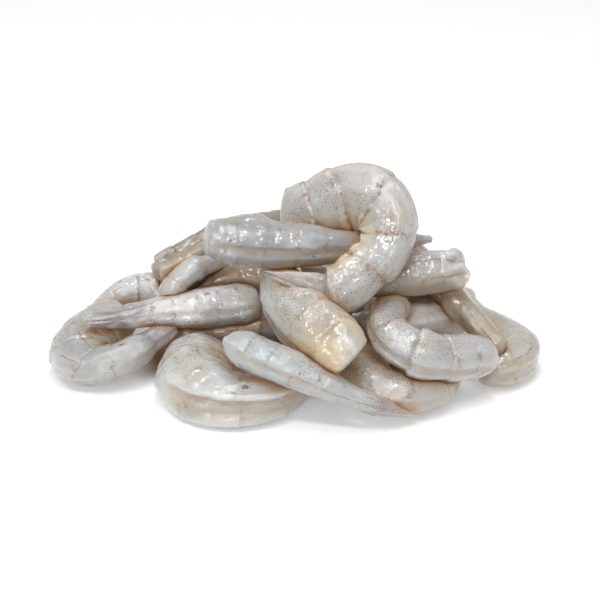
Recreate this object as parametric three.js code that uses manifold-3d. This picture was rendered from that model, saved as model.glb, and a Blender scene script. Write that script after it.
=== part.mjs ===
// A loose heap of raw peeled prawns, shell and head off, slit along the back where the vein was drawn.
// Each prawn is one solid: six segments of muscle that taper to the tail, curled towards the belly.
// Millimetres, +X right, +Y to the back, +Z up. The origin is under the middle of the heap, on the surface.

import * as THREE from 'three';
import Module from 'manifold-3d';

const wasm = await Module();
wasm.setup();

// Sizes of an average prawn, which each prawn's own values scale
const bodyLength = 80; // head cut to tail tip, along the middle of the body
const bodyDepth = 20; // back to belly, in the first segments
const bodyWidth = 15.5; // flank to flank
const creases = [0.12, 0.24, 0.37, 0.5, 0.62]; // between segments, as shares of the length
const tailStart = 0.77; // the end of the last segment, where the tail's own flesh begins
const segmentSwell = 0.05; // how far a segment's rear edge stands out, as a share of the girth
const slitEnd = 0.66; // where the slit along the back runs out, as a share of the length
const slitDepth = 0.25; // how deep a fully open slit cuts, as a share of the girth
const slitSpread = 0.22; // how much wider a fully open slit lets the flanks fall, as a share of the width
const contactGap = 0.35; // kept between two prawns that touch
const heapCentre = [0, 9.7, 0]; // taken off every place below, so that the origin is under the middle

// Where the prawns lie. at is the middle of the body. The body runs from head to tail along heading, in
// degrees from +X towards +Y, climbing by pitch. roll turns the back, which faces up at 0, about that line.
// curl is how far the ends bend towards the belly, over the shares of the length in bend. sway bends them
// sideways, rise lets them drift apart sideways in mm, and flick folds the tail towards the belly.
// size scales the length and girth, and girth scales the thickness alone. belly is the depth below the
// line as a share of that above it. head, tail, fan and tip are shares of the full girth at the head cut,
// the last segment, the root of the tail's flesh and its end. slant tilts the head cut, slit is how far the
// back stands open, and lap is how strongly the segments' rear edges stand out.
// A prawn keeps its shape against those after it in the list, which are pressed in where they touch.
const usual = {
  rise: 0, sway: 0, flick: 0, bend: [0.08, 0.8], size: 1, girth: 1, belly: 0.9,
  head: 0.8, slant: [0, 0], tail: 0.6, fan: 0.45, tip: 0.3, slit: 0.3, lap: 0.4,
};
const prawns = [
  { name: 'crown', at: [32.7, 2, 54], heading: -112, pitch: -68, roll: -98, curl: 162, rise: -32,
    bend: [0.17, 0.66], flick: 60, size: 1.28, girth: 0.88, belly: 1.1, head: 0.97,
    slant: [0.45, 0], tail: 0.76, fan: 0.42, tip: 0.06, slit: 0.1, lap: 0.6 },
  { name: 'ledge', at: [9.5, 8, 47], heading: 15, pitch: -6, roll: 95, curl: 12, sway: 7,
    size: 1.02, girth: 0.94, head: 0.75, tail: 0.68, tip: 0.2, slit: 0.4, lap: 0.2 },
  { name: 'diagonal', at: [9, -39, 17], heading: -13, pitch: -20, roll: 80, curl: 25,
    bend: [0.5, 0.95], size: 0.88, girth: 0.86, head: 0.3, fan: 0.4, tip: 0.08, slit: 0.35,
    lap: 0.2 },
  { name: 'middle', at: [-3.5, -2, 34.5], heading: 106, pitch: 9, roll: -110, curl: 45, sway: 40,
    bend: [0.2, 0.9], size: 1.03, girth: 1.1, head: 0.75, slant: [-0.15, 0.5], tail: 0.65, fan: 0.4,
    tip: 0.2, lap: 0.2 },
  { name: 'reach', at: [-44, 9.5, 21], heading: 194, pitch: -1, roll: -80, curl: 0, size: 0.76,
    girth: 1.2, head: 0.85, tail: 0.62, fan: 0.52, slit: 0.25, lap: 0.2 },
  { name: 'perch', at: [28, 5, 34.3], heading: 192, pitch: -8, roll: 60, curl: 10, size: 0.8,
    girth: 1.02, head: 0.9, tail: 0.45, fan: 0.3, tip: 0.15, lap: 0.15 },
  { name: 'spill', at: [50.5, 18, 29], heading: -54, pitch: -19, roll: 30, curl: 20, size: 0.9,
    girth: 0.88, head: 0.6, tail: 0.72, fan: 0.72, tip: 0.62, slit: 0.2 },
  { name: 'far_right', at: [74, 20.5, 8.5], heading: 122, pitch: 4, roll: 90, curl: 95,
    bend: [0, 0.5], size: 0.93, girth: 0.92, head: 0.7 },
  { name: 'dusk', at: [46, 9.5, 17.5], heading: 20, pitch: 0, roll: 50, curl: 100, size: 0.9,
    girth: 1.2, belly: 1.4, slit: 0.2 },
  { name: 'cheek', at: [33, -17, 24.5], heading: 115, pitch: 14, roll: -78, curl: 140,
    bend: [0.15, 0.72], girth: 0.92, tail: 0.75, fan: 0.35, tip: 0.1, slit: 0.35 },
  { name: 'tuck', at: [-44.5, 14, 24], heading: 0, pitch: 80, roll: 20, curl: 150,
    bend: [0.1, 0.95], size: 0.75, girth: 0.9, head: 0.5, tail: 0.7, fan: 0.5, tip: 0.2,
    slit: 0.5 },
  { name: 'ruff', at: [-17, 40.5, 38.5], heading: 35, pitch: 6, roll: 20, curl: 30, size: 0.92,
    girth: 1.1, head: 1, tail: 0.55, fan: 0.4 },
  { name: 'shoulder', at: [-57, 28, 21.5], heading: 185, pitch: 0, roll: 25, curl: 140, size: 0.82,
    head: 0.6, tail: 0.55 },
  { name: 'left_base', at: [-71.5, -8.5, 8.5], heading: -28, pitch: 8, roll: 103, curl: 185,
    size: 0.96, belly: 1.3, slit: 0.35 },
  { name: 'front_base', at: [-18, -34.5, 8], heading: 2, pitch: 0, roll: 90, curl: 210,
    bend: [0, 0.95], flick: 40, size: 1.24, girth: 0.92, belly: 1.25, head: 0.6, tail: 0.72,
    fan: 0.68, tip: 0.5, slit: 0.9, lap: 0.25 },
  { name: 'right_base', at: [40, -29, 8], heading: 12, pitch: 0, roll: 90, curl: 180, size: 1.05,
    head: 0.6 },
  { name: 'spine', buried: true, at: [-8, 26, 26], heading: 3, pitch: 4, roll: 10, curl: 30,
    size: 0.95 },
  { name: 'keel', buried: true, at: [-12, 15, 12], heading: 5, pitch: 0, roll: 20, curl: 20,
    size: 0.8, girth: 1.05 },
  { name: 'root', buried: true, at: [22, 10, 18], heading: 30, pitch: -4, roll: 80, curl: 130 },
  { name: 'heel', buried: true, at: [45, 27, 7.5], heading: -60, pitch: 0, roll: 90, curl: 180,
    size: 0.9 },
  { name: 'back_left', buried: true, at: [-46, 52, 8], heading: 175, pitch: 0, roll: 90,
    curl: 190 },
  { name: 'back_mid', buried: true, at: [-2, 54, 8], heading: 175, pitch: 0, roll: 90, curl: 190,
    size: 1.05 },
  { name: 'back_right', buried: true, at: [40, 56, 8], heading: 165, pitch: 0, roll: 90,
    curl: 190 },
  { name: 'back_top', buried: true, at: [24, 38, 24], heading: 160, pitch: -4, roll: 30, curl: 60 },
].map((prawn) => ({ ...usual, ...prawn }));

// How finely a body is cut into facets: rings at these shares of the length, corners at these angles.
// The buried prawns have fewer.
const fine = {
  shares: [0, 0.02, 0.07, ...creases.flatMap((crease, i) => (
    [crease - 0.012, crease + 0.006, (crease + (creases[i + 1] ?? tailStart)) / 2]
  )), tailStart - 0.01, tailStart + 0.05, 1],
  angles: [0, 26, 60, 96, 138, 180, -138, -96, -60, -26],
};
const coarse = {
  shares: [
    0, 0.05, ...creases.flatMap((crease) => [crease - 0.01, crease + 0.01]), tailStart - 0.02, 0.82, 1,
  ],
  angles: [0, 28, 80, 130, 180, -130, -80, -28],
};

const { degToRad, lerp, smoothstep, clamp } = THREE.MathUtils;
const ease = (from, to, x) => smoothstep(x, from, to);

// The line of the body: gives the point at share t, and the turn to tail-wards, left and back there
function bodyLine(prawn) {
  const steps = 120;
  const facing = new THREE.Quaternion().setFromEuler(
    new THREE.Euler(degToRad(prawn.roll), degToRad(-prawn.pitch), degToRad(prawn.heading), 'ZYX'),
  );
  const turnAt = (t) => {
    const bent = prawn.curl * (ease(...prawn.bend, t) - ease(...prawn.bend, 0.5));
    const folded = prawn.flick * ease(tailStart - 0.06, tailStart + 0.06, t);
    const swayed = prawn.sway * (ease(0, 1, t) - 0.5);
    const turn = new THREE.Euler(0, degToRad(bent + folded), degToRad(swayed), 'ZYX');
    return facing.clone().multiply(new THREE.Quaternion().setFromEuler(turn));
  };
  const stepLength = bodyLength * prawn.size / steps;
  const drift = new THREE.Vector3(0, prawn.rise / steps, 0).applyQuaternion(turnAt(0.5));
  const start = new THREE.Vector3(...prawn.at).sub(new THREE.Vector3(...heapCentre));
  const walk = (direction) => {
    const points = [start.clone()];
    for (let i = 0; i < steps / 2; i++) {
      const turn = turnAt(0.5 + direction * (i + 0.5) / steps);
      const step = new THREE.Vector3(stepLength, 0, 0).applyQuaternion(turn).add(drift);
      points.push(points[i].clone().addScaledVector(step, direction));
    }
    return points;
  };
  const line = [...walk(-1).reverse(), ...walk(1).slice(1)];
  return (t) => {
    const place = Math.min(t * steps, steps - 0.001);
    const i = Math.floor(place);
    return { point: line[i].clone().lerp(line[i + 1], place - i), turn: turnAt(t) };
  };
}

// The girth at share t, against that of the first segments
function girthAt(prawn, t) {
  const rounded = 1 - prawn.head;
  const head = Math.sqrt(1 - rounded * (2 - rounded) * (1 - clamp(t / 0.12, 0, 1)) ** 2);
  const body = lerp(1, prawn.tail, ease(0.28, 0.72, t));
  const fan = lerp(1, prawn.fan / prawn.tail, ease(tailStart - 0.02, tailStart + 0.05, t));
  const tip = lerp(1, prawn.tip / prawn.fan, ease(tailStart + 0.05, 1, t));
  const edges = [0, ...creases, tailStart];
  const segment = edges.findLastIndex((edge) => t >= edge);
  const swell = t < tailStart ? (t - edges[segment]) / (edges[segment + 1] - edges[segment]) - 0.5 : 0;
  return head * body * fan * tip * (1 + segmentSwell * prawn.lap * 2 * swell);
}

// The skin at share t and at angle, in degrees from the middle of the back towards the left flank
function skinPoint(prawn, frame, t, angle, grow) {
  const girth = prawn.size * prawn.girth * girthAt(prawn, t);
  const open = prawn.slit * ease(0, 0.06, t) * (1 - ease(slitEnd - 0.2, slitEnd, t));
  const lips = 0.06 * open * Math.exp(-(((Math.abs(angle) - 38) / 22) ** 2));
  const notch = 1 - slitDepth * open * Math.exp(-((angle / 16) ** 2)) + lips;
  const sine = Math.sin(degToRad(angle));
  const cosine = Math.cos(degToRad(angle)) * (Math.abs(angle) > 90 ? prawn.belly : 1);
  const side = (bodyWidth / 2 * (1 + slitSpread * prawn.slit) * girth * notch + grow) * sine;
  const back = (bodyDepth / 2 * girth * notch + grow) * cosine;
  const slide = (prawn.slant[0] * back + prawn.slant[1] * side) * (1 - ease(0, 0.2, t));
  return new THREE.Vector3(slide, side, back).applyQuaternion(frame.turn).add(frame.point);
}

// One prawn as a closed solid, or with grow as the slightly larger form that its neighbours make room for
function prawnSolid(prawn, grow = 0) {
  const frameAt = bodyLine(prawn);
  const { shares, angles } = prawn.buried ? coarse : fine;
  const rings = shares.map((t) => {
    const frame = frameAt(t);
    return angles.map((angle) => skinPoint(prawn, frame, t, angle, grow));
  });
  const middles = [0, 1].map((t) => {
    const frame = frameAt(t);
    return new THREE.Vector3(t ? grow : -grow, 0, 0).applyQuaternion(frame.turn).add(frame.point);
  });
  const points = [...rings.flat(), ...middles];
  const sides = angles.length;
  const lastRing = (rings.length - 1) * sides;
  const [headMiddle, tailMiddle] = [lastRing + sides, lastRing + sides + 1];
  const triangles = [];
  for (let side = 0; side < sides; side++) {
    const next = (side + 1) % sides;
    triangles.push(headMiddle, side, next);
    for (let ring = 0; ring < lastRing; ring += sides) {
      triangles.push(ring + side, ring + sides + side, ring + sides + next);
      triangles.push(ring + side, ring + sides + next, ring + next);
    }
    triangles.push(tailMiddle, lastRing + next, lastRing + side);
  }
  return new wasm.Manifold(new wasm.Mesh({
    numProp: 3,
    vertProperties: new Float32Array(points.flatMap((point) => point.toArray())),
    triVerts: new Uint32Array(triangles),
  }));
}

// The largest piece of a solid: what a neighbour would cut loose is left off
function largestPiece(solid) {
  return solid.decompose().reduce((best, piece) => (piece.volume() > best.volume() ? piece : best));
}

function meshOf(solid, name, material) {
  const { vertProperties, triVerts } = solid.getMesh();
  const geometry = new THREE.BufferGeometry();
  geometry.setAttribute('position', new THREE.BufferAttribute(vertProperties, 3));
  geometry.setIndex(new THREE.BufferAttribute(triVerts, 1));
  const mesh = new THREE.Mesh(geometry, material);
  mesh.name = name;
  return mesh;
}

const flesh = new THREE.MeshStandardMaterial({ color: 0xd6cfc4, roughness: 0.35, metalness: 0 });
const heap = new THREE.Group();
const placed = [];
for (const prawn of prawns) {
  let solid = prawnSolid(prawn).trimByPlane([0, 0, 1], 0);
  for (const neighbour of placed) solid = solid.subtract(neighbour);
  placed.push(prawnSolid(prawn, contactGap));
  heap.add(meshOf(largestPiece(solid), `prawn_${prawn.name}`, flesh));
}

export default heap;
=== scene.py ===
"""A loose heap of raw peeled prawns on a white table: heads and shells off, most slit along the back.

Shapes are worked out in millimetres in the heap's own frame and stored in metres. Sizes and places
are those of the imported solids. The prawns are laid from the top of the heap down, and each one gives
way to those laid before it.
"""

from itertools import product

import bpy
import numpy as np
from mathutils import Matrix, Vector
from mathutils.bvhtree import BVHTree


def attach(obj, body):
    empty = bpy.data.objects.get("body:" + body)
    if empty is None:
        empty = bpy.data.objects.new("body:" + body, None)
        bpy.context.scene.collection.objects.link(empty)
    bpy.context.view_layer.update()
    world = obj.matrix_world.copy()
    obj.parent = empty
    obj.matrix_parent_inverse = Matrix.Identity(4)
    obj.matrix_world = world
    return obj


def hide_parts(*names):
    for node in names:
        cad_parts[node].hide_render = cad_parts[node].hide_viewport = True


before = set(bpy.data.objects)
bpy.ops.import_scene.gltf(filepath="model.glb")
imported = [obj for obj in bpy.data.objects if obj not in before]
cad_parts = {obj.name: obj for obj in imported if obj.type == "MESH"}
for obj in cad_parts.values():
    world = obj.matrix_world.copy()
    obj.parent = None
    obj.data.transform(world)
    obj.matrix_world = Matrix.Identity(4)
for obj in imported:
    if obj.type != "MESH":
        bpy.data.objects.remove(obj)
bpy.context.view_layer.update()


# The crown prawn
# The largest prawn, standing on its head cut at the top of the heap and coiled round so that its tail
# hangs down in front. Raw flesh, translucent and grey-white: six segments of muscle whose rear edges
# lap over the next like tiles. The belly, on the inside of the coil, folds into yellow creases.
MM = 0.001
HEAP_CENTRE = np.array([0.0, 9.7, 0.0])  # taken off every place, so that the origin is under the middle
BODY_LENGTH = 80.0  # of an average prawn, along the middle of its body
BODY_DEPTH = 20.0  # back to belly, in the first segments
BODY_WIDTH = 15.5
MEAN_RADIUS = 9.0
CREASES = [0.12, 0.24, 0.37, 0.5, 0.62]  # between the segments, as shares of the length
TAIL_START = 0.77  # where the last segment ends and the tail's own flesh begins
SEGMENT_EDGES = np.array([0.0, *CREASES, TAIL_START])
SEGMENT_SWELL = 0.05  # how far a segment's rear edge stands out, as a share of the girth
SLIT_DEPTH = 0.25  # how deep a fully open slit cuts, as a share of the girth
SLIT_SPREAD = 0.22  # how much wider a fully open slit lets the flanks fall
CONTACT_GAP = 0.12  # between two prawns that touch
CORE = 0.3  # the least that is left round the body's line where another prawn presses
LINE_STEPS = 120
NOISE_SHIFT = 60  # moves the tube that noise is read on away from the lattice's own origin

# at is the middle of the body. The body runs from head to tail along heading, in degrees from +X
# towards +Y, climbing by pitch, and roll turns the back, which faces up at 0, about that line. curl bends
# the ends towards the belly over the shares of the length in bend, sway bends them sideways, rise lets
# them drift apart sideways in mm, and flick folds the tail. size scales everything, girth the thickness
# alone, and belly the depth below the line. head, tail, fan and tip are shares of the girth at the head
# cut, the last segment, the root of the tail's flesh and its end. slant tilts the head cut, frill is how
# ragged it is, and onion how high its fine rings are. lap is how strongly the segments stand out, fold
# how deep the belly creases, and rims are segment ends that turn up, with their height.
# slit is how far the back stands open, over the shares from opens to shuts, gape its half width and seat
# its middle, in degrees. The rest are patches, each with a share, an angle and a size in mm: brown spots,
# a yellow blush, smoked flesh, peppered flesh, and lumps, which have a height too.
USUAL = {
    "rise": 0, "sway": 0, "flick": 0, "bend": (0.08, 0.8), "size": 1, "girth": 1, "belly": 0.9,
    "head": 0.8, "slant": (0, 0), "tail": 0.6, "fan": 0.45, "tip": 0.3, "slit": 0.3, "lap": 0.4,
    "fold": 0.4, "gape": 15, "seat": 0, "opens": (0, 0.06), "shuts": (0.46, 0.66), "frill": 0.03,
    "onion": 0, "rims": (), "spots": (), "blush": (), "smoked": (), "pepper": (), "lumps": (),
}
laid = []


def ease(start, end, x):
    """A smooth step from 0 at start to 1 at end."""
    share = np.clip((np.asarray(x, float) - start) / (end - start), 0, 1)
    return share * share * (3 - 2 * share)


def lerp(a, b, share):
    """The value at a share of the way from a to b."""
    return a + (b - a) * share


def bump_at(middle, width, x):
    """A smooth bump that is 1 in the middle."""
    return np.exp(-(((x - middle) / width) ** 2))


def turn_about(axis, degrees):
    """The matrices of turns about axis 0, 1 or 2."""
    angle = np.radians(np.asarray(degrees, float))
    turn = np.zeros(angle.shape + (3, 3))
    first, second = [(1, 2), (2, 0), (0, 1)][axis]
    turn[..., axis, axis] = 1
    turn[..., first, first] = turn[..., second, second] = np.cos(angle)
    turn[..., first, second] = -np.sin(angle)
    turn[..., second, first] = np.sin(angle)
    return turn


def turn_at(prawn, t):
    """The turn from tail-wards, left and back to the heap's axes, at shares t of the length."""
    facing = turn_about(2, prawn["heading"]) @ turn_about(1, -prawn["pitch"]) @ turn_about(0, prawn["roll"])
    bent = prawn["curl"] * (ease(*prawn["bend"], t) - ease(*prawn["bend"], 0.5))
    folded = prawn["flick"] * ease(TAIL_START - 0.06, TAIL_START + 0.06, t)
    swayed = prawn["sway"] * (ease(0, 1, t) - 0.5)
    return facing @ turn_about(2, swayed) @ turn_about(1, bent + folded)


def line_at(prawn, t):
    """Points of the line through the middle of the body, at shares t of the length."""
    step = BODY_LENGTH * prawn["size"] / LINE_STEPS
    middles = (np.arange(LINE_STEPS) + 0.5) / LINE_STEPS
    steps = turn_at(prawn, middles)[:, :, 0] * step
    steps = steps + turn_at(prawn, 0.5)[:, 1] * prawn["rise"] / LINE_STEPS
    line = np.vstack([np.zeros(3), np.cumsum(steps, axis=0)])
    line += np.array(prawn["at"]) - HEAP_CENTRE - line[LINE_STEPS // 2]
    shares = np.linspace(0, 1, LINE_STEPS + 1)
    return np.stack([np.interp(t, shares, line[:, k]) for k in range(3)], -1)


def rumple(places, size, seed):
    """Smooth lumps from -1 to 1 at places in mm, each lump about size mm across."""
    count = 32
    lattice = np.random.default_rng(seed).uniform(-1, 1, (count, count, count))
    cells = places / size
    corner = np.floor(cells).astype(int)
    part = cells - corner
    part = part * part * (3 - 2 * part)
    total = np.zeros(places.shape[:-1])
    for step in product((0, 1), repeat=3):
        weight = np.prod(np.where(step, part, 1 - part), axis=-1)
        i, j, k = np.moveaxis((corner + step) % count, -1, 0)
        total += weight * lattice[i, j, k]
    return total


def girth_at(prawn, t, lap):
    """The girth at share t against that of the first segments; lap is t moved to a crease's own curve."""
    rounded = 1 - prawn["head"]
    head = np.sqrt(np.clip(1 - rounded * (2 - rounded) * (1 - np.clip(t / 0.12, 0, 1)) ** 2, 0, 1))
    body = lerp(1, prawn["tail"], ease(0.28, 0.72, t))
    fan = lerp(1, prawn["fan"] / prawn["tail"], ease(TAIL_START - 0.02, TAIL_START + 0.05, t))
    tip = lerp(1, prawn["tip"] / prawn["fan"], ease(TAIL_START + 0.05, 1, t))
    swell = np.zeros_like(t)
    for start, end in zip(SEGMENT_EDGES[:-1], SEGMENT_EDGES[1:]):
        share = (lap - start) / (end - start)
        inside = ease(-0.02, 0.05, share) * (1 - ease(0.97, 1.04, share))
        swell += inside * (2 * np.clip(share, 0, 1) ** 1.5 - 1)
    return head * body * fan * tip * (1 + SEGMENT_SWELL * prawn["lap"] * swell)


def skin(prawn, t, angle, seed):
    """The surface at shares t and at angles from the middle of the back to the left flank, in mm, and its
    marks from 0 to 1, which the material reads.

    lay is the place on the skin unrolled, along and across the body and all at one height. around is the
    same place on a plain tube, where noise has no seam."""
    turns = turn_at(prawn, t[:, 0])
    centre = line_at(prawn, t[:, 0])
    scale = prawn["size"] * prawn["girth"]
    radians = np.radians(angle)
    sine, cosine = np.sin(radians), np.cos(radians)
    tube = [cosine * MEAN_RADIUS * scale + NOISE_SHIFT, sine * MEAN_RADIUS * scale + NOISE_SHIFT]
    along = t * BODY_LENGTH * prawn["size"]
    lay = np.stack([along, radians * MEAN_RADIUS * scale, np.full_like(t, 40.0)], -1)
    around = np.stack([along, *tube], -1)

    # The segments. Each crease wanders a little from its place along the body.
    wander = 0.012 * cosine + 0.014 * rumple(around, 7, seed) + 0.004 * rumple(around, 1.8, seed + 1)
    lap = t + wander
    girth = scale * girth_at(prawn, t, lap)
    belly = ease(95, 150, np.abs(angle))
    seam = sum(bump_at(crease, 0.012, lap) for crease in CREASES)
    groove = sum(bump_at(crease + 0.006, 0.006, lap) for crease in CREASES)
    tail = ease(TAIL_START - 0.08, TAIL_START + 0.04, t)

    # The slit along the back, steep on its left side and soft on its right one, between two swollen lips
    gape = prawn["gape"]
    slit_angle = prawn["seat"] + 5 * rumple(around * [1, 0, 0], 11, seed + 2)
    off = angle - slit_angle + 3 * rumple(around, 3, seed + 3)
    open_here = prawn["slit"] * ease(*prawn["opens"], t) * (1 - ease(*prawn["shuts"], t))
    channel = ease(-gape - 6, -0.4 * gape, off) * (1 - ease(gape - 5, gape + 2, off))
    lips = 0.09 * bump_at(gape + 8, 8, off) + 0.05 * bump_at(-gape - 12, 9, off)
    notch = 1 - open_here * (SLIT_DEPTH * channel - lips)

    # Relief, in mm on a prawn of size 1: lumps from broad to fine, long strands, torn flesh at the head,
    # rings at its cut, upturned edges, creases, belly folds, and the strands of the tail
    folds = belly * (0.5 + 0.5 * np.cos(2 * np.pi * 2 * share_of_segment(lap))) * (1 - tail)
    strand = angle + 14 * rumple(around, 8, seed + 9)
    lobes = tail * sum(bump_at(middle, 13, np.abs(strand)) for middle in (8, 70, 128))
    relief = 0.85 * rumple(around, 12, seed + 4) + 0.3 * rumple(around, 5, seed + 5)
    relief += 0.06 * rumple(around, 2.2, seed + 6) + 0.3 * rumple(around * [0.2, 1, 1], 3.4, seed + 13)
    relief += 2.0 * prawn["frill"] * (1 - ease(0, 0.4, t)) * rumple(around * [0.12, 1, 1], 3.8, seed + 10)
    rings = np.cos(2 * np.pi * lay[..., 0] / 2.4 + 2 * rumple(around, 6, seed + 12))
    onion = rings * (1 - ease(0.02, 0.14, t))
    relief += prawn["onion"] * onion
    relief += sum(high * patch([place], lay, t, angle, scale) for *place, high in prawn["lumps"])
    for end, high in prawn["rims"]:
        relief += high * (1 - belly) * (ease(end - 0.12, end - 0.01, lap) - ease(end, end + 0.014, lap))
    relief -= 0.5 * prawn["lap"] * groove * (0.4 + 0.6 * belly) + prawn["fold"] * folds
    relief -= 0.9 * lobes * prawn["fan"]
    relief *= scale

    thin = np.where(cosine < 0, prawn["belly"], 1)
    side = (BODY_WIDTH / 2 * (1 + SLIT_SPREAD * prawn["slit"]) * girth * notch + relief) * sine
    back = (BODY_DEPTH / 2 * girth * notch + relief) * cosine * thin
    torn = 3 * prawn["frill"] * rumple(around * [0, 1, 1], 4, seed + 11)
    slide = (prawn["slant"][0] * back + prawn["slant"][1] * side) * (1 - ease(0, 0.2, t))
    slide += torn * (1 - ease(0, 0.12, t))
    offset = np.stack([slide, side, back], -1)
    points = centre[:, None] + np.einsum("nij,nsj->nsi", turns, offset)
    marks = {
        "belly": belly,
        "seam": np.clip(seam, 0, 1),
        "channel": np.clip(channel * open_here * 1.6, 0, 1),
        "tail": np.maximum(tail, patch(prawn["smoked"], lay, t, angle, scale)),
        "spot": patch(prawn["spots"], lay, t, angle, scale),
        "blush": patch(prawn["blush"], lay, t, angle, scale),
        "hairs": np.clip(onion, 0, 1) ** 3 * (prawn["onion"] > 0),
        "pepper": patch(prawn["pepper"], lay, t, angle, scale),
    }
    return centre, points, lay, marks


def patch(places, lay, t, angle, scale):
    """How near the surface is to any of the places, given as share, angle and size in mm."""
    marked = np.zeros_like(t)
    for share, turn, size in places:
        along = (t - share) * lay[-1, 0, 0] / max(t[-1, 0], 0.01)
        across = np.radians((angle - turn + 180) % 360 - 180) * MEAN_RADIUS * scale
        marked = np.maximum(marked, np.exp(-(along ** 2 + across ** 2) / size ** 2))
    return marked


def share_of_segment(lap):
    """How far along its own segment a share of the length is, from 0 to 1."""
    segment = np.clip(np.searchsorted(SEGMENT_EDGES, lap, side="right") - 1, 0, len(SEGMENT_EDGES) - 2)
    start, end = SEGMENT_EDGES[segment], SEGMENT_EDGES[segment + 1]
    return np.clip((lap - start) / (end - start), 0, 1)


def near(low, high, prawn, reach):
    """Whether a box in mm comes within reach of a laid prawn."""
    return np.all(low - reach <= prawn["high"]) and np.all(high + reach >= prawn["low"])


def free_stretch(centre):
    """The longest run of the body's line that lies in no prawn laid before, as first and last ring."""
    buried = np.zeros(len(centre), bool)
    for other in laid:
        if not near(centre.min(0), centre.max(0), other, 0):
            continue
        for i, point in enumerate(centre):
            place, normal, _, _ = other["tree"].find_nearest(point)
            buried[i] |= (place - Vector(point)).dot(normal) > 0
    best, start = (0, 0), 0
    for i in range(len(centre) + 1):
        if i == len(centre) or buried[i]:
            if i - start > best[1] - best[0]:
                best = (start, i)
            start = i + 1
    return best[0], best[1] - 1


def give_way(centre, points):
    """Presses the surface in, towards the body's line, where a prawn laid before stands in its way."""
    rays = points - centre[:, None]
    reach = np.linalg.norm(rays, axis=-1)
    ways = rays / np.maximum(reach, 1e-6)[..., None]
    kept = np.ones_like(reach)
    low, high = points.min((0, 1)), points.max((0, 1))
    for other in laid:
        if not near(low, high, other, 1):
            continue
        inside = np.all((points > other["low"] - 1) & (points < other["high"] + 1), axis=-1)
        for i, j in zip(*np.nonzero(inside)):
            place, normal, _, far = other["tree"].ray_cast(centre[i], ways[i, j], reach[i, j] + CONTACT_GAP)
            if place is not None and normal.dot(ways[i, j].tolist()) < 0:
                kept[i, j] = min(kept[i, j], max(far - CONTACT_GAP, CORE) / max(reach[i, j], CORE))
    soft = kept.copy()
    for _ in range(3):
        soft = (soft + np.roll(soft, 1, 1) + np.roll(soft, -1, 1)) / 3
        padded = np.vstack([soft[:1], soft, soft[-1:]])
        soft = (padded[:-2] + padded[1:-1] + padded[2:]) / 3
    kept = np.minimum(kept, soft)
    return centre[:, None] + rays * kept[..., None]


def cap(centre, rim, outward, rings, bulge, power, seed):
    """Rings that close an end from its rim inwards, flatter in the middle the higher the power."""
    layers = []
    for share in np.linspace(1, 0, rings + 2)[1:-1]:
        ring = centre + (rim - centre) * share
        grain = 0.25 * min(bulge, 1) * rumple(ring + 80, 2.5, seed) * (1 - share)
        layers.append(ring + outward * (bulge * (1 - share ** power) + grain)[:, None])
    return layers


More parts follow.
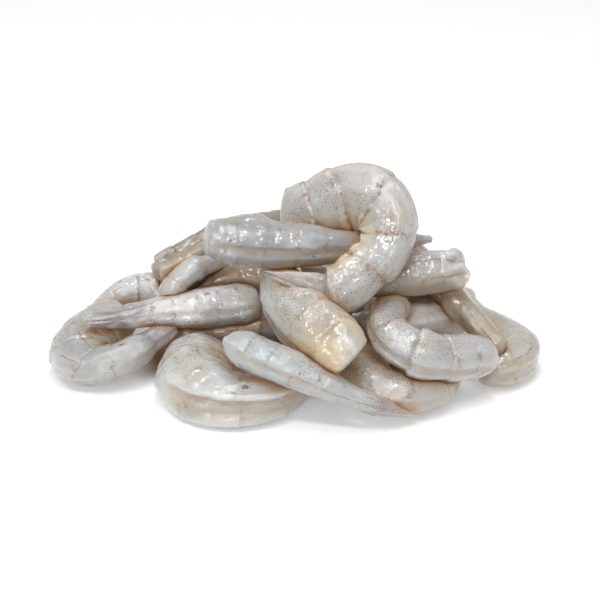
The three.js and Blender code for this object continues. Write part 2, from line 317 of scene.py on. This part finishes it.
def prawn_mesh(name, prawn, seed, rings, sides):
    """One prawn's closed mesh, with a uv map and the marks that its material reads."""
    shares = np.linspace(0, 1, rings)
    first, last = free_stretch(line_at(prawn, shares))
    whole = (first == 0, last == rings - 1)
    shares = np.linspace(shares[first], shares[last], rings)
    angles = np.linspace(-180, 180, sides, endpoint=False)
    t, angle = np.meshgrid(shares, angles, indexing="ij")
    centre, points, lay, marks = skin(prawn, t, angle, seed)
    points = give_way(centre, points)
    turns = turn_at(prawn, shares)
    scale = prawn["size"] * prawn["girth"]
    head_rings, head_power = 9, 5
    tail_rings, tail_power = 6, 2
    head_bulge = 1.1 * scale * whole[0]
    tail_bulge = 3.5 * prawn["tip"] * scale * whole[1]
    head_cap = cap(centre[0], points[0], -turns[0, :, 0], head_rings, head_bulge, head_power, seed + 7)
    tail_cap = cap(centre[-1], points[-1], turns[-1, :, 0], tail_rings, tail_bulge, tail_power, seed + 8)
    grid = np.concatenate([head_cap[::-1], points, tail_cap])
    count = len(grid)
    points = np.vstack([grid.reshape(-1, 3), head_cap[-1].mean(0), tail_cap[-1].mean(0)])
    points[:, 2] = np.maximum(points[:, 2], 0)

    ring, side = np.meshgrid(np.arange(count - 1), np.arange(sides), indexing="ij")
    corner, following = ring * sides, (side + 1) % sides
    quads = [corner + side, corner + sides + side, corner + sides + following, corner + following]
    quads = np.stack(quads, -1).reshape(-1, 4)
    around = np.arange(sides)
    after = (around + 1) % sides
    end = (count - 1) * sides
    head_fan = np.stack([np.full(sides, count * sides), around, after], -1)
    tail_fan = np.stack([np.full(sides, count * sides + 1), end + after, end + around], -1)
    faces = quads.tolist() + head_fan.tolist() + tail_fan.tolist()
    mesh = bpy.data.meshes.new(name)
    mesh.from_pydata((points * MM).tolist(), [], faces)

    def fan_map(first, second, pole, rim):
        across = np.stack([around + 0.5, around + first, around + second], -1).reshape(-1) / sides
        return np.stack([across, np.tile([pole, rim, rim], sides)], -1)

    across = np.stack([side, side, side + 1, side + 1], -1).reshape(-1) / sides
    level = np.stack([ring, ring + 1, ring + 1, ring], -1).reshape(-1) / (count - 1)
    edge = 0.01  # the strip of the map that each end takes
    body_map = np.stack([across, edge + (1 - 2 * edge) * level], -1)
    uv = np.concatenate([body_map, fan_map(0, 1, 0, edge), fan_map(1, 0, 1, 1 - edge)])
    mesh.uv_layers.new(name="OFBake").data.foreach_set("uv", uv.astype(np.float32).ravel())

    marks["cut"] = np.zeros_like(t)
    at_head = {"belly": 0.3, "cut": float(whole[0])}
    for mark, values in marks.items():
        start = np.full((head_rings, sides), at_head.get(mark, 0.0))
        finish = np.repeat(values[-1:] * (mark in ("tail", "belly")), tail_rings, 0)
        rows = np.vstack([start, values, finish]).ravel()
        store(mesh, mark, np.concatenate([rows, [start[0, 0], finish[0, 0]]]))
    lays = np.concatenate([np.repeat(lay[:1], head_rings, 0), lay, np.repeat(lay[-1:], tail_rings, 0)])
    lays = np.vstack([lays.reshape(-1, 3), lay[0, :1], lay[-1, :1]]).astype(np.float32)
    mesh.attributes.new("lay", "FLOAT_VECTOR", "POINT").data.foreach_set("vector", lays.ravel())
    mesh.shade_smooth()
    laid.append({
        "tree": BVHTree.FromPolygons(points.tolist(), faces), "low": points.min(0), "high": points.max(0),
        "points": points, "mesh": mesh, "rings": count, "sides": sides,
    })
    return mesh


def store(mesh, mark, values):
    """Stores a number for each point of a mesh."""
    layer = mesh.attributes.new(mark, "FLOAT", "POINT")
    layer.data.foreach_set("value", values.astype(np.float32))


def hex_colour(code):
    """The linear colour of an sRGB hex value."""
    values = [int(code[i:i + 2], 16) / 255 for i in (1, 3, 5)]
    linear = [v / 12.92 if v <= 0.04045 else ((v + 0.055) / 1.055) ** 2.4 for v in values]
    return (*linear, 1.0)


def add(tree, kind, settings=None, **links):
    """Adds a shader node. A link's name is the input's with _ for a space, or input_0 for the first one.
    A node given as a link stands for its first output."""
    node = tree.nodes.new("ShaderNode" + kind)
    for key, value in (settings or {}).items():
        setattr(node, key, value)
    for key, value in links.items():
        socket = node.inputs[int(key[6:]) if key.startswith("input_") else key.replace("_", " ")]
        if isinstance(value, bpy.types.Node):
            value = value.outputs[0]
        if isinstance(value, bpy.types.NodeSocket):
            tree.links.new(value, socket)
        else:
            socket.default_value = value
    return node


def raw_flesh(name, lit="#a2a6a9", deep="#9a9a95", belly="#b39e86", yolk="#b3935c", tail="#7d7c80",
              fleck=0.4, stain=0.3, tan=0.1, painted_shade=0.85, veins=()):
    """Raw prawn muscle, wet with its own liquid: translucent and cloudy, with small pigment cells that
    show as dark specks along the segment edges and on the tail. The IOR is that of lean flesh, and light
    scatters in it over most of a body's depth. The coat is that wet film: smooth, rippled, and with more
    than water's IOR of 1.33, so that its glints stay as bright as they look under small hard lamps.

    lit is the flesh in thick clear parts and deep in clouded ones. fleck is how many specks there are,
    stain how dark the brown lines are, tan how much belly colour the back has, and painted_shade how
    brown the painted shade turns the flesh deep in the heap. veins are dark lines, each with its start,
    end and height in mm."""
    material = bpy.data.materials.new(name)
    material.use_nodes = True
    tree = material.node_tree
    tree.nodes.clear()
    times, minus, without_sign, over, times_and_plus = (
        {"operation": step} for step in ("MULTIPLY", "SUBTRACT", "ABSOLUTE", "GREATER_THAN", "MULTIPLY_ADD")
    )
    smooth = {"interpolation_type": "SMOOTHSTEP"}

    # Where a point is in the heap and on the skin, in mm, and the marks that its mesh carries
    place = add(tree, "TexCoord").outputs["Object"]
    place = add(tree, "VectorMath", {"operation": "SCALE"}, input_0=place, Scale=1 / MM)
    lay = add(tree, "Attribute", {"attribute_name": "lay"}).outputs["Vector"]
    fibres = add(tree, "VectorMath", times, input_0=lay, input_1=(0.4, 1, 1))
    marks = {
        mark: add(tree, "Attribute", {"attribute_name": mark}).outputs["Fac"]
        for mark in (
            "belly", "seam", "channel", "tail", "cut", "blush", "spot", "hairs", "pepper", "close", "shade",
        )
    }

    # Soft clouds: what each is for, where it is read, its size in mm, its detail, the range of noise that
    # it is cut to, and the values that this becomes
    clouds = {}
    for use, vector, size, detail, start, end, low, high in (
        ("haze", place, 14, 2, 0.36, 0.68, 0, 0.7),
        ("warmth", place, 12, 2, 0.46, 0.64, 0, 1),
        ("milk", fibres, 5, 1, 0.46, 0.7, 0, 0.35),
        ("yolk", place, 2.5, 3, 0.35, 0.6, 0, 1),
        ("channel", fibres, 1.6, 3, 0.3, 0.6, 0.3, 0.85),
        ("smoke", fibres, 2.2, 3, 0.3, 0.6, 0.4, 0.9),
        ("blush", place, 4, 3, 0.3, 0.6, 0.4, 1),
        ("crevice_shade", place, 5, 3, 0.25, 0.6, 0.35, 1),
        ("membrane", place, 11, 1, 0.6, 0.66, 0, 1),
        ("edge", place, 3, 3, 0.48, 0.62, 0, 1),
        ("hairs", place, 4, 2, 0.4, 0.6, 0.25, 0.75),
        ("vein", place, 2.5, 2, 0.35, 0.5, 0, 1),
        ("ripple", place, 6, 1, 0.4, 0.6, 0.22, 0.65),
    ):
        noise = add(tree, "TexNoise", Vector=vector, Scale=1 / size, Detail=detail)
        clouds[use] = add(tree, "MapRange", smooth, Value=noise, From_Min=start, From_Max=end,
                          To_Min=low, To_Max=high)

    # The painted shade deep in the heap: brown, with a cloudy edge
    noise = add(tree, "TexNoise", Vector=place, Scale=1 / 7)
    shaded = add(tree, "Math", times_and_plus, input_0=noise, input_1=0.5, input_2=marks["shade"])
    shaded = add(tree, "MapRange", smooth, Value=shaded, From_Min=0.58, From_Max=1.2, To_Max=painted_shade)

    # How many of the pigment cells are dark: more on the seams, the tail and near other prawns, in patches
    noise = add(tree, "TexNoise", Vector=place, Scale=1 / 6, Detail=3, Roughness=0.6)
    patches = add(tree, "MapRange", smooth, Value=noise, From_Min=0.47, From_Max=0.6, To_Max=2 * fleck)
    dense = 0.05
    for mark, share in (("seam", 0.7), ("tail", 0.4), ("close", 0.4)):
        dense = add(tree, "Math", times_and_plus, input_0=marks[mark], input_1=share, input_2=dense)
    dense = add(tree, "Math", times, input_0=dense, input_1=patches)
    dense = add(tree, "Math", times_and_plus, input_0=marks["pepper"], input_1=0.7, input_2=dense)
    specks = []
    for size in (0.4, 0.62):
        cells = add(tree, "TexVoronoi", Vector=place, Scale=1 / size)
        chance = add(tree, "SeparateColor", Color=cells.outputs["Color"])
        dark = add(tree, "Math", over, input_0=dense, input_1=chance)
        dot = add(tree, "MapRange", smooth, Value=cells, From_Min=0.2, From_Max=0.45, To_Min=1, To_Max=0)
        specks.append(((dot, dark, 0.75), "#573f2a"))

    # Threads of membrane follow the middle value of a noise, and spots are broken up by another
    noise = add(tree, "TexNoise", Vector=place, Scale=1 / 6, Detail=4, Roughness=0.55)
    off = add(tree, "Math", minus, input_0=noise, input_1=0.5)
    off = add(tree, "Math", without_sign, input_0=off)
    thread = add(tree, "MapRange", smooth, Value=off, From_Max=0.012, To_Min=1, To_Max=0)
    noise = add(tree, "TexNoise", Vector=place, Scale=1 / 0.9, Detail=3, Roughness=0.6)
    spot = add(tree, "Math", times, input_0=marks["spot"], input_1=noise)
    spot = add(tree, "MapRange", smooth, Value=spot, From_Min=0.34, From_Max=0.44)

    # The veins are broken lines along the skin that wander by up to 2 mm
    along = add(tree, "SeparateXYZ", Vector=lay)
    noise = add(tree, "TexNoise", Vector=place, Scale=1 / 5)
    across = add(tree, "Math", times_and_plus, input_0=noise, input_1=4, input_2=along.outputs["Y"])
    lines = []
    for start, end, height in veins:
        off = add(tree, "Math", minus, input_0=across, input_1=height + 2)
        off = add(tree, "Math", without_sign, input_0=off)
        line = add(tree, "MapRange", smooth, Value=off, From_Min=0.1, From_Max=0.5, To_Min=1, To_Max=0)
        begun = add(tree, "MapRange", smooth, Value=along, From_Min=start, From_Max=start + 2)
        on = add(tree, "MapRange", smooth, Value=along, From_Min=end - 2, From_Max=end, To_Min=1, To_Max=0)
        lines.append(((line, begun, on, clouds["vein"], 0.55), "#604a34"))

    # The colours, laid over each other. The share of each is the product of what stands before it.
    colour = hex_colour(lit)
    for factors, code in (
        ((clouds["haze"],), deep),
        ((clouds["warmth"], tan), belly),
        ((clouds["milk"],), "#b9bdc0"),
        ((marks["belly"], 0.6), belly),
        ((marks["belly"], marks["seam"], clouds["yolk"]), yolk),
        ((marks["channel"], clouds["channel"]), "#a99b89"),
        ((marks["cut"], 0.6), lit),
        ((marks["tail"], clouds["smoke"]), tail),
        ((marks["blush"], clouds["blush"], 0.85), "#c4a05a"),
        # painted shade: brown deep in the heap
        ((shaded,), "#bda07f"),
        # painted shade: brown where another prawn is close
        ((marks["close"], clouds["crevice_shade"], 0.7), "#a98561"),
        *specks,
        ((thread, clouds["membrane"], stain), "#7d5c3c"),
        ((marks["seam"], clouds["edge"], stain), "#7a5a38"),
        ((spot, 0.75), "#523822"),
        ((marks["hairs"], clouds["hairs"]), "#6c6056"),
        *lines,
    ):
        share = factors[0]
        for factor in factors[1:]:
            share = add(tree, "Math", times, input_0=share, input_1=factor)
        colour = add(tree, "Mix", {"data_type": "RGBA"}, input_0=share, input_6=colour,
                     input_7=hex_colour(code)).outputs[2]

    # Low wrinkles in the flesh, and on the juice over it also ripples along the body, about 1 mm wide
    wrinkles = add(tree, "TexNoise", Vector=place, Scale=1 / 3, Detail=1)
    wrinkles = add(tree, "Math", times, input_0=wrinkles, input_1=0.5)
    noise = add(tree, "TexNoise", Vector=fibres, Scale=1 / 0.9, Detail=1)
    ripples = add(tree, "Math", times_and_plus, input_0=noise, input_1=clouds["ripple"], input_2=wrinkles)
    soft = add(tree, "Bump", Height=wrinkles, Strength=0.6, Distance=1 * MM)
    wet = add(tree, "Bump", Height=ripples, Strength=1.0, Distance=1 * MM)
    shader = add(tree, "BsdfPrincipled", Base_Color=colour, Roughness=0.5, IOR=1.38,
                 Subsurface_Weight=1.0, Subsurface_Radius=(1.0, 0.85, 0.72), Subsurface_Scale=18 * MM,
                 Coat_Weight=1.0, Coat_Roughness=0.1, Coat_IOR=1.62, Normal=soft, Coat_Normal=wet)
    add(tree, "OutputMaterial", Surface=shader).is_active_output = True
    return material


def lay_prawn(name, flesh=None, veins=(), rings=190, sides=100, **sizes):
    """Lays one prawn of the heap in the place of its solid. flesh is what its material has of its own,
    and a vein has a start and an end, as shares of the length, and an angle from the back."""
    seed = 100 * (len(laid) + 1)
    prawn = {**USUAL, **sizes}
    mesh = prawn_mesh(name, prawn, seed, rings, sides)
    length, radius = BODY_LENGTH * prawn["size"], MEAN_RADIUS * prawn["size"] * prawn["girth"]
    lines = [(start * length, end * length, np.radians(angle) * radius) for start, end, angle in veins]
    piece = bpy.data.objects.new(name, mesh)
    bpy.context.scene.collection.objects.link(piece)
    mesh.materials.append(raw_flesh(f"raw flesh, {name}", veins=lines, **(flesh or {})))
    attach(piece, "root")
    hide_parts(f"prawn_{name}")


lay_prawn(
    "crown", at=[32.7, 2, 54], heading=-112, pitch=-68, roll=-98, curl=162, rise=-32, bend=(0.17, 0.66),
    flick=60, size=1.28, girth=0.88, belly=1.1, head=0.97, slant=(0.45, 0), tail=0.76, fan=0.42,
    tip=0.06, slit=0.1, lap=0.6, fold=0.6, rims=[(0.76, 0.5)], spots=[(0.36, -63, 1.5)],
    pepper=[(0.08, -85, 4), (0.2, -70, 5), (0.34, -100, 4), (0.5, -80, 4), (0.62, -60, 5), (0.76, -60, 5)],
    flesh={"lit": "#9e9e9d", "deep": "#9b9388", "belly": "#b3a07c", "fleck": 0.35, "stain": 0.75},
)


# The ledge prawn
# It lies across the heap just under the crown and passes through its coil. The head end is cut round,
# and the slit along its back shows a beige channel between two lips.
lay_prawn(
    "ledge", at=[9.5, 8, 47], heading=15, pitch=-6, roll=95, curl=12, sway=7, size=1.02, girth=0.94,
    head=0.75, tail=0.68, tip=0.2, slit=0.4, gape=13, seat=10, lap=0.2, onion=0.06,
    spots=[(0.08, 27, 1.5), (0.29, 70, 1.2), (0.52, 85, 1), (0.44, -2, 1)], lumps=[(0.2, 118, 5, 2.4)],
    veins=[(0.75, 1, 60)], flesh={"lit": "#898b8f", "deep": "#878580", "tan": 0.15, "fleck": 0.4},
)


# The three prawns that lie down the front
# The diagonal is slim and bluish, with a long tail. The middle one is thick, with an ochre blush at its
# head cut. The reach points its dark tail to the left, over the rim of the heap.
lay_prawn(
    "diagonal", at=[9, -39, 17], heading=-13, pitch=-20, roll=80, curl=25, bend=(0.5, 0.95), size=0.88,
    girth=0.86, head=0.3, fan=0.4, tip=0.08, slit=0.35, gape=10, lap=0.2, spots=[(0.39, 20, 1)],
    veins=[(0.5, 0.95, 0), (0.7, 1, 35)], pepper=[(0.15, 100, 6), (0.45, 60, 5), (0.85, 0, 8)],
    flesh={"lit": "#8f9699", "fleck": 0.5},
)
lay_prawn(
    "middle", at=[-3.5, -2, 34.5], heading=106, pitch=9, roll=-110, curl=45, sway=40, bend=(0.2, 0.9),
    size=1.03, girth=1.1, head=0.75, slant=(-0.15, 0.5), tail=0.65, fan=0.4, tip=0.2,
    lap=0.2, fold=0.1, blush=[(0.06, -15, 10)], pepper=[(0.36, -100, 9), (0.3, -60, 4)],
    flesh={"lit": "#9e9d96", "deep": "#8c8579", "fleck": 0.5},
)
lay_prawn(
    "reach", at=[-44, 9.5, 21], heading=194, pitch=-1, roll=-80, curl=0, size=0.76, girth=1.2,
    head=0.85, tail=0.62, fan=0.52, slit=0.25, gape=9, lap=0.2, frill=0.15,
    smoked=[(0.73, -25, 7), (0.72, -60, 6)], spots=[(0.62, -41, 2), (0.3, -62, 2.5)],
    veins=[(0.7, 1, -15), (0.66, 0.9, -60)],
    pepper=[(0.85, -20, 8), *[(share, 41, 5) for share in (0.12, 0.27, 0.42, 0.55)]],
    flesh={"lit": "#c9ccce", "tan": 0.15, "fleck": 0.5, "tail": "#575555", "painted_shade": 0.6},
)


# The prawns on the right slope
# The perch sticks out to the right under the crown, the spill slides down over the slope, and the far
# right one lies at its foot. The cheek is curled tight at the front, and the dusk lies in the shade
# between them.
lay_prawn(
    "perch", at=[28, 5, 34.3], heading=192, pitch=-8, roll=60, curl=10, size=0.8, girth=1.02, head=0.9,
    tail=0.45, fan=0.3, tip=0.15, lap=0.15, fold=0, frill=0.6,
    lumps=[
        (0.02, 60, 3, 2.4), (0.01, 112, 2.6, 2.2), (0.03, 164, 3, 2.4), (0.03, 86, 2, -1.8),
        (0.03, 138, 2, -1.8),
    ],
    veins=[(0.03, 0.3, 86), (0.03, 0.25, 138), (0.3, 0.5, 100)],
    flesh={
        "lit": "#8c8e90", "belly": "#a39584", "yolk": "#9a8f7e", "tan": 0.15, "fleck": 0.3,
        "stain": 0.05,
    },
)
lay_prawn(
    "spill", at=[50.5, 18, 29], heading=-54, pitch=-19, roll=30, curl=20, size=0.9, girth=0.88, head=0.6,
    tail=0.72, fan=0.72, tip=0.62, slit=0.2, veins=[(0.66, 0.9, -45), (0.8, 1, -75), (0.8, 1, -10)],
    pepper=[(0.97, -40, 6), (0.85, -75, 3), (0.6, -40, 3)],
    flesh={"lit": "#817a6f", "deep": "#7f776b", "tail": "#8a7f70", "fleck": 0.6},
)
lay_prawn(
    "far_right", at=[74, 20.5, 8.5], heading=122, pitch=4, roll=90, curl=95, bend=(0, 0.5), size=0.93,
    girth=0.92, head=0.7, veins=[(0.1, 0.25, 45)],
    flesh={"lit": "#9f9d96", "deep": "#948b7a", "fleck": 0.35},
)
lay_prawn(
    "dusk", at=[46, 9.5, 17.5], heading=20, pitch=0, roll=50, curl=100, size=0.9, girth=1.2,
    belly=1.4, slit=0.2,
    flesh={"lit": "#c2c1c0", "deep": "#a89f94", "fleck": 0.5, "painted_shade": 0.6},
)
lay_prawn(
    "cheek", at=[33, -17, 24.5], heading=115, pitch=14, roll=-78, curl=140, bend=(0.15, 0.72), girth=0.92,
    tail=0.75, fan=0.35, tip=0.1, slit=0.35, gape=10, rims=[(0.37, 1.5), (0.24, 0.3)],
    pepper=[(0.27, -74, 5), (0.38, -60, 4), (0.5, -50, 6)],
    flesh={"lit": "#9e9f9e", "fleck": 0.5, "stain": 0.5},
)


# The prawns on the left slope
# The tuck stands curled between its neighbours, the ruff lies on top at the back with a torn end, and
# the shoulder rounds off the slope.
lay_prawn(
    "tuck", at=[-44.5, 14, 24], heading=0, pitch=80, roll=20, curl=150, bend=(0.1, 0.95), size=0.75,
    girth=0.9, head=0.5, tail=0.7, fan=0.5, tip=0.2, slit=0.5,
)
# The ruff's flesh is a darker grey-brown as painted shade
lay_prawn(
    "ruff", at=[-17, 40.5, 38.5], heading=35, pitch=6, roll=20, curl=30, size=0.92, girth=1.1,
    head=1, tail=0.55, fan=0.4, frill=0.8, veins=[(0.05, 0.4, 22), (0.1, 0.3, 50)],
    flesh={"lit": "#79746c", "deep": "#625b52", "fleck": 0.4},
)
lay_prawn(
    "shoulder", at=[-57, 28, 21.5], heading=185, pitch=0, roll=25, curl=140, size=0.82, head=0.6,
    tail=0.55, spots=[(0.58, 34, 1.5)], veins=[(0.4, 0.65, 60)], flesh={"fleck": 0.4, "stain": 0.45},
)


# The prawns round the foot of the heap
# They lie flat on the surface, curled, with their backs outwards, and carry the rest.
lay_prawn(
    "left_base", at=[-71.5, -8.5, 8.5], heading=-28, pitch=8, roll=103, curl=185, size=0.96, belly=1.3,
    fold=0.1, slit=0.35, gape=10, seat=-12, spots=[(0.32, 52, 1.5), (0.67, 92, 1.5)],
    veins=[(0.4, 0.5, 50), (0.3, 0.75, 110)], pepper=[(0.3, 100, 6), (0.81, 78, 5)],
    flesh={"lit": "#8f9091", "belly": "#aaa292", "yolk": "#a18c6a", "fleck": 0.4, "stain": 0.45},
)
lay_prawn(
    "front_base", at=[-18, -34.5, 8], heading=2, pitch=0, roll=90, curl=210, bend=(0, 0.95), flick=40,
    size=1.24, girth=0.92, head=0.6, tail=0.72, fan=0.68, tip=0.5, belly=1.25, lap=0.25, onion=0.03,
    slit=0.9, opens=(0.24, 0.38), shuts=(0.55, 0.72), gape=24, seat=2, spots=[(0.51, 59, 2)],
    veins=[(0.2, 0.3, 100)], pepper=[(0.2, 120, 8), (0.3, 85, 4), (0.52, 80, 3)],
    flesh={"lit": "#abadab", "fleck": 0.4},
)
lay_prawn(
    "right_base", at=[40, -29, 8], heading=12, pitch=0, roll=90, curl=180, size=1.05, head=0.6,
    pepper=[(0.3, 60, 6), (0.45, 75, 5)],
    flesh={"lit": "#97958c", "fleck": 0.6},
)


# The prawns inside and behind the heap
# Hardly any of these shows from the front. They fill the middle and close the heap at the back.
buried = {"rings": 120, "sides": 64}
# The spine, keel and root are given dark brown flesh as painted shade, for lying deep in the heap
lay_prawn("spine", at=[-8, 26, 26], heading=3, pitch=4, roll=10, curl=30, size=0.95,
          flesh={"lit": "#766a5d", "deep": "#56493d", "fleck": 0.9, "painted_shade": 0.35}, **buried)
lay_prawn("keel", at=[-12, 15, 12], heading=5, pitch=0, roll=20, curl=20, size=0.8, girth=1.05,
          flesh={"lit": "#8f7e6a", "deep": "#74624f", "fleck": 0.8, "painted_shade": 0.35}, **buried)
lay_prawn("root", at=[22, 10, 18], heading=30, pitch=-4, roll=80, curl=130,
          flesh={"lit": "#9c9081", "deep": "#776a5a", "painted_shade": 0.5}, **buried)
lay_prawn("heel", at=[45, 27, 7.5], heading=-60, pitch=0, roll=90, curl=180, size=0.9, **buried)
lay_prawn("back_left", at=[-46, 52, 8], heading=175, pitch=0, roll=90, curl=190, **buried)
lay_prawn("back_mid", at=[-2, 54, 8], heading=175, pitch=0, roll=90, curl=190, size=1.05, **buried)
lay_prawn("back_right", at=[40, 56, 8], heading=165, pitch=0, roll=90, curl=190, **buried)
lay_prawn("back_top", at=[24, 38, 24], heading=160, pitch=-4, roll=30, curl=60, **buried)


# The painted shade where the prawns meet
# In the narrow spaces where two prawns meet, the flesh is darkened to brown as painted shade. Each point
# of a surface is marked by how close another prawn is, and the flesh's colour reads that mark.
CREVICE_SHADE_REACH = 6.0
for prawn in laid:
    points = prawn["points"]
    close = np.zeros(len(points))
    for other in laid:
        if other is prawn or not near(prawn["low"], prawn["high"], other, CREVICE_SHADE_REACH):
            continue
        low, high = other["low"] - CREVICE_SHADE_REACH, other["high"] + CREVICE_SHADE_REACH
        for i in np.nonzero(np.all((points > low) & (points < high), axis=1))[0]:
            place, _, _, far = other["tree"].find_nearest(points[i], CREVICE_SHADE_REACH)
            if place is not None:
                close[i] = max(close[i], (1 - far / CREVICE_SHADE_REACH) ** 1.8)
    at_floor = 0.4 * (1 - points[:, 2] / 1.5)  # the lowest 1.5 mm, where the prawns stand on the table, get painted shade too
    store(prawn["mesh"], "close", np.maximum(close, at_floor))


# The painted shade deep in the heap
# Deep in the heap, where light has come through flesh and turned brown, the flesh's colour is darkened
# to brown as painted shade. Each point of a surface is marked by how much of the light round it is
# blocked by flesh near it.
SHADE_REACH = 26.0
SHADE_RAYS = 40
turns = np.arange(SHADE_RAYS) * np.pi * (3 - 5 ** 0.5)
heights = 1 - 2 * (np.arange(SHADE_RAYS) + 0.5) / SHADE_RAYS
level = np.sqrt(1 - heights ** 2)
rays = np.stack([level * np.cos(turns), level * np.sin(turns), heights], -1)
light = 0.35 + 0.65 * np.clip(heights + 0.3, 0, 1)  # how much of it comes from each side, most from above

# A coarse copy of the heap, with a third of each prawn's rings and a quarter of its sides
corners, faces = [], []
for prawn in laid:
    rows = np.linspace(0, prawn["rings"] - 1, prawn["rings"] // 3).round().astype(int)
    columns = np.arange(0, prawn["sides"], 4)
    picked = rows[:, None] * prawn["sides"] + columns
    prawn["coarse"] = rows, columns, picked
    ring, side = np.meshgrid(np.arange(len(rows) - 1), np.arange(len(columns)), indexing="ij")
    corner = sum(map(len, corners)) + ring * len(columns)
    below, after = corner + len(columns), (side + 1) % len(columns)
    quads = np.stack([corner + side, below + side, below + after, corner + after], -1)
    faces += quads.reshape(-1, 4).tolist()
    corners.append(prawn["points"][picked.ravel()])
heap_tree = BVHTree.FromPolygons(np.vstack(corners).tolist(), faces)

for prawn in laid:
    normals = np.empty(len(prawn["points"]) * 3, np.float32)
    prawn["mesh"].vertex_normals.foreach_get("vector", normals)
    normals = normals.reshape(-1, 3)
    rows, columns, picked = prawn["coarse"]
    shade = np.zeros(picked.shape)
    for place, at in np.ndenumerate(picked):
        facing = rays @ normals[at]
        start = prawn["points"][at] + 0.9 * normals[at]
        seen = hidden = 0
        for k in np.nonzero(facing > 0.1)[0]:
            weight = facing[k] * light[k]
            seen += weight
            hidden += weight * (heap_tree.ray_cast(start, rays[k], SHADE_REACH)[0] is not None)
        shade[place] = hidden / seen
    whole = np.stack([np.interp(np.arange(prawn["rings"]), rows, column) for column in shade.T], -1)
    around = np.arange(prawn["sides"])
    whole = np.stack([np.interp(around, columns, row, period=prawn["sides"]) for row in whole])
    store(prawn["mesh"], "shade", np.concatenate([whole.ravel(), [whole[0].mean(), whole[-1].mean()]]))


# The table, the light and the camera
# A table of matt white laminate, with a brown oval of painted shade under the heap. Outside that oval
# it glows a little, which keeps it white. The lamps are three long soft boxes, one overhead and two in
# front, so that a body at any angle catches a narrow glint.
TABLE_HALF = 6.0
table_mesh = bpy.data.meshes.new("table")
table_corners = [(x * TABLE_HALF, y * TABLE_HALF, 0) for x, y in ((-1, -1), (1, -1), (1, 1), (-1, 1))]
table_mesh.from_pydata(table_corners, [], [(0, 1, 2, 3)])
table = bpy.data.objects.new("table", table_mesh)
bpy.context.scene.collection.objects.link(table)
laminate = bpy.data.materials.new("white laminate, painted shade under the heap")
laminate.use_nodes = True
tree = laminate.node_tree
tree.nodes.clear()
SHADE_OVAL_CENTRE = (-0.002, 0.01, 0)
SHADE_OVAL_RADII = (0.066, 0.038, 1)
flat = add(tree, "TexCoord").outputs["Object"]
flat = add(tree, "VectorMath", {"operation": "SUBTRACT"}, input_0=flat, input_1=SHADE_OVAL_CENTRE)
flat = add(tree, "VectorMath", {"operation": "DIVIDE"}, input_0=flat, input_1=SHADE_OVAL_RADII)
away = add(tree, "VectorMath", {"operation": "LENGTH"}, input_0=flat).outputs["Value"]
outside_shade = add(tree, "MapRange", {"interpolation_type": "SMOOTHSTEP"}, Value=away, From_Min=0.75, From_Max=1.05)
# painted shade: the table is brown inside the oval under the heap
tone = add(tree, "Mix", {"data_type": "RGBA"}, input_0=outside_shade, input_6=hex_colour("#a58a6c"),
           input_7=hex_colour("#d8d8d8")).outputs[2]
glow = add(tree, "Math", {"operation": "MULTIPLY"}, input_0=outside_shade, input_1=0.3)
matt = add(tree, "BsdfPrincipled", Base_Color=tone, Roughness=0.8, Specular_IOR_Level=0.1,
           Emission_Color=hex_colour("#ffffff"), Emission_Strength=glow)
add(tree, "OutputMaterial", Surface=matt)
table_mesh.materials.append(laminate)

world = bpy.data.worlds.new("white studio")
world.use_nodes = True
world.node_tree.nodes["Background"].inputs["Color"].default_value = hex_colour("#ffffff")
world.node_tree.nodes["Background"].inputs["Strength"].default_value = 0.58
bpy.context.scene.world = world

HEAP_MIDDLE = (0, 0, 0.03)
for name, place, size, watts in (
    ("top softbox", (0.05, 0.02, 0.8), (0.6, 0.08), 2.6),
    ("low softbox", (-0.25, -0.75, 0.42), (0.5, 0.07), 1.7),
    ("front softbox", (-0.15, -0.4, 0.7), (0.65, 0.1), 3.4),
):
    light = bpy.data.lights.new(name, "AREA")
    light.shape = "RECTANGLE"
    light.size, light.size_y = size
    light.energy = watts
    lamp = bpy.data.objects.new(name, light)
    lamp.location = place
    lamp.rotation_euler = (Vector(HEAP_MIDDLE) - Vector(place)).to_track_quat("-Z", "Y").to_euler()
    bpy.context.scene.collection.objects.link(lamp)

CAMERA_TARGET = np.array([1.75, -9.7, 29.9]) * MM
CAMERA_DISTANCE = 0.7
CAMERA_ELEVATION = np.radians(24)
camera = bpy.data.cameras.new("camera")
camera.lens = 120
camera.sensor_width = 36
viewer = bpy.data.objects.new("camera", camera)
towards = np.array([0, -np.cos(CAMERA_ELEVATION), np.sin(CAMERA_ELEVATION)])
viewer.location = CAMERA_TARGET + CAMERA_DISTANCE * towards
viewer.rotation_euler = (np.pi / 2 - CAMERA_ELEVATION, 0, 0)
bpy.context.scene.collection.objects.link(viewer)
bpy.context.scene.camera = viewer
bpy.context.scene.view_settings.view_transform = "Standard"
